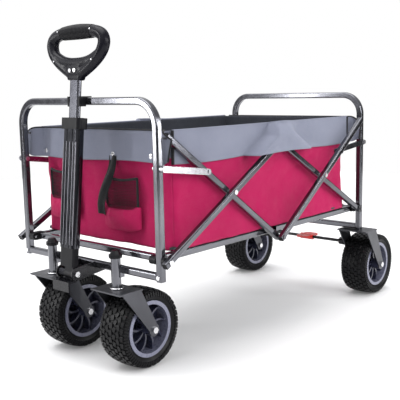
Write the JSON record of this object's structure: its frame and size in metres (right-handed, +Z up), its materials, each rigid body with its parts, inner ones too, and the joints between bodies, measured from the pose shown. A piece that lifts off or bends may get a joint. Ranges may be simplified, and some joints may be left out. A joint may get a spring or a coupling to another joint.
{
  "type": "folding beach cart",
  "caption": "Folding four-wheel cart with a fabric tub, scissor side arms, swivel front wheels, a foot brake and a telescopic pull handle.",
  "frame": {"origin": "on the floor under the middle of the cart's overall box", "axes": "+Z up, -Y towards the pull handle, +X across to the cart's left-hand side seen from the handle"},
  "size_m": [0.607, 1.166, 0.8352],
  "materials": {
    "frame_paint": "gloss powder coat, dark gunmetal",
    "arm_paint": "gloss powder coat, dark gunmetal",
    "black_steel": "satin black paint",
    "fork_paint": "gloss powder coat, dark grey",
    "zinc": "bright zinc plate",
    "spring_steel": "oiled spring steel",
    "tube_alu": "black anodised, gloss",
    "black_plastic": "moulded, fine texture",
    "grip_plastic": "soft-touch moulding",
    "rim_plastic": "glossy moulding",
    "red_plastic": "glossy moulding",
    "tyre_rubber": "block tread rubber",
    "tub_fabric": "coated polyester",
    "mesh": "open mesh",
    "strap_web": "woven strap",
    "board": "fabric covered board"
  },
  "bodies": {
    "front_frame": {"front_frame_tube": "frame_paint", "front_cross_tube": "frame_paint", "front_frame_fasteners": "zinc", "front_arm_spacers": "black_plastic", "caster_sockets": "black_steel", "caster_caps": "black_plastic", "handle_bracket": "black_steel", "handle_hinge_pin": "zinc", "handle_spring": "spring_steel", "rail_clip": "black_plastic", "cargo_tub": "tub_fabric", "mesh_pockets": "mesh", "tub_strap": "strap_web"},
    "bed_front": {"bed_front_rails": "frame_paint", "bed_front_bars": "frame_paint", "bed_front_brackets": "black_plastic", "bed_hinge_pins": "zinc", "floor_board_front": "board"},
    "bed_rear": {"bed_rear_rails": "frame_paint", "bed_rear_bars": "frame_paint", "bed_rear_brackets": "black_plastic", "floor_board_rear": "board"},
    "rear_frame": {"rear_frame_tube": "frame_paint", "rear_cross_tube": "frame_paint", "rear_frame_fasteners": "zinc", "rear_arm_brackets": "black_steel", "rear_fork_right": "fork_paint", "rear_fork_left": "fork_paint", "rear_axle_bolts": "zinc"},
    "front_lower_arms": {"right_front_lower_arm": "arm_paint", "left_front_lower_arm": "arm_paint", "front_arm_pins": "zinc"},
    "front_upper_arms": {"right_front_upper_arm": "arm_paint", "left_front_upper_arm": "arm_paint"},
    "rear_lower_arms": {"right_rear_lower_arm": "arm_paint", "left_rear_lower_arm": "arm_paint", "rear_arm_pins": "zinc"},
    "rear_upper_arms": {"right_rear_upper_arm": "arm_paint", "left_rear_upper_arm": "arm_paint"},
    "front_link_pair": {"front_links": "arm_paint"},
    "rear_link_pair": {"rear_links": "arm_paint"},
    "handle_lower": {"handle_outer_tube": "tube_alu", "handle_collar": "black_plastic", "handle_knuckle": "black_plastic"},
    "handle_upper": {"handle_inner_tube": "tube_alu", "handle_grip": "grip_plastic"},
    "caster_right": {"front_fork_right": "fork_paint", "front_axle_bolt_right": "zinc"},
    "caster_left": {"front_fork_left": "fork_paint", "front_axle_bolt_left": "zinc"},
    "wheel_front_right": {"tyre_front_right": "tyre_rubber", "rim_front_right": "rim_plastic"},
    "wheel_front_left": {"tyre_front_left": "tyre_rubber", "rim_front_left": "rim_plastic"},
    "wheel_rear_right": {"tyre_rear_right": "tyre_rubber", "rim_rear_right": "rim_plastic"},
    "wheel_rear_left": {"tyre_rear_left": "tyre_rubber", "rim_rear_left": "rim_plastic"},
    "brake": {"brake_rod": "black_steel", "brake_pedal": "red_plastic"}
  },
  "joints": [
    {"name": "bed_fold", "type": "hinge", "parent": "front_frame", "child": "bed_front", "pos_m": [0, -0.489, 0.292], "axis": [1, 0, 0], "range_deg": [0, 75], "deforming": ["cargo_tub", "mesh_pockets", "tub_strap"]},
    {"name": "bed_middle_hinge", "type": "hinge", "parent": "bed_front", "child": "bed_rear", "pos_m": [0, -0.036, 0.2795], "axis": [1, 0, 0], "range_deg": [-150.5, 0]},
    {"name": "rear_frame_hinge", "type": "hinge", "parent": "bed_rear", "child": "rear_frame", "pos_m": [0, 0.417, 0.292], "axis": [1, 0, 0], "range_deg": [0, 75.5]},
    {"name": "front_lower_arm_pivot", "type": "hinge", "parent": "front_frame", "child": "front_lower_arms", "pos_m": [0, -0.489, 0.292], "axis": [1, 0, 0], "range_deg": [0, 47.49]},
    {"name": "front_upper_arm_pivot", "type": "hinge", "parent": "front_lower_arms", "child": "front_upper_arms", "pos_m": [0, -0.254, 0.42442], "axis": [1, 0, 0], "range_deg": [-89.48, 0]},
    {"name": "rear_lower_arm_pivot", "type": "hinge", "parent": "rear_frame", "child": "rear_lower_arms", "pos_m": [0, 0.398, 0.292], "axis": [1, 0, 0], "range_deg": [-47.49, 0]},
    {"name": "rear_upper_arm_pivot", "type": "hinge", "parent": "rear_lower_arms", "child": "rear_upper_arms", "pos_m": [0, 0.163, 0.42442], "axis": [1, 0, 0], "range_deg": [0, 89.48]},
    {"name": "front_link_pivot", "type": "hinge", "parent": "front_frame", "child": "front_link_pair", "pos_m": [0, -0.489, 0.503], "axis": [1, 0, 0], "range_deg": [0, 82.68]},
    {"name": "rear_link_pivot", "type": "hinge", "parent": "rear_frame", "child": "rear_link_pair", "pos_m": [0, 0.417, 0.503], "axis": [1, 0, 0], "range_deg": [-75.54, 0]},
    {"name": "handle_tilt", "type": "hinge", "parent": "front_frame", "child": "handle_lower", "pos_m": [0, -0.556, 0.24], "axis": [1, 0, 0], "range_deg": [0, 100], "stiffness_Nm_per_rad": 0.4, "springref_deg": -22.92},
    {"name": "handle_slide", "type": "slide", "parent": "handle_lower", "child": "handle_upper", "axis": [0, 0.1054, 0.9944], "range_m": [-0.03, 0.16]},
    {"name": "caster_right_swivel", "type": "hinge", "parent": "front_frame", "child": "caster_right", "pos_m": [0.122, -0.511, 0.21], "axis": [0, 0, 1], "continuous": true},
    {"name": "wheel_front_right_spin", "type": "hinge", "parent": "caster_right", "child": "wheel_front_right", "pos_m": [0.122, -0.44, 0.099], "axis": [1, 0, 0], "continuous": true},
    {"name": "caster_left_swivel", "type": "hinge", "parent": "front_frame", "child": "caster_left", "pos_m": [-0.122, -0.511, 0.21], "axis": [0, 0, 1], "continuous": true},
    {"name": "wheel_front_left_spin", "type": "hinge", "parent": "caster_left", "child": "wheel_front_left", "pos_m": [-0.122, -0.44, 0.099], "axis": [1, 0, 0], "continuous": true},
    {"name": "wheel_rear_right_spin", "type": "hinge", "parent": "rear_frame", "child": "wheel_rear_right", "pos_m": [0.246, 0.484, 0.099], "axis": [1, 0, 0], "continuous": true},
    {"name": "wheel_rear_left_spin", "type": "hinge", "parent": "rear_frame", "child": "wheel_rear_left", "pos_m": [-0.246, 0.484, 0.099], "axis": [1, 0, 0], "continuous": true},
    {"name": "brake_press", "type": "hinge", "parent": "rear_frame", "child": "brake", "pos_m": [0, 0.432, 0.172], "axis": [1, 0, 0], "range_deg": [0, 25]}
  ],
  "couplings": [
    {"joint": "bed_middle_hinge", "follows": "bed_fold", "ratio": -2},
    {"joint": "rear_frame_hinge", "follows": "bed_fold", "ratio": 1},
    {"joint": "front_lower_arm_pivot", "follows": "bed_fold", "ratio": 0.62648},
    {"joint": "front_upper_arm_pivot", "follows": "bed_fold", "ratio": -1.1864},
    {"joint": "rear_lower_arm_pivot", "follows": "bed_fold", "ratio": -0.62648},
    {"joint": "rear_upper_arm_pivot", "follows": "bed_fold", "ratio": 1.1864},
    {"joint": "front_link_pivot", "follows": "bed_fold", "ratio": 1.0957},
    {"joint": "rear_link_pivot", "follows": "bed_fold", "ratio": -1.0005}
  ]
}
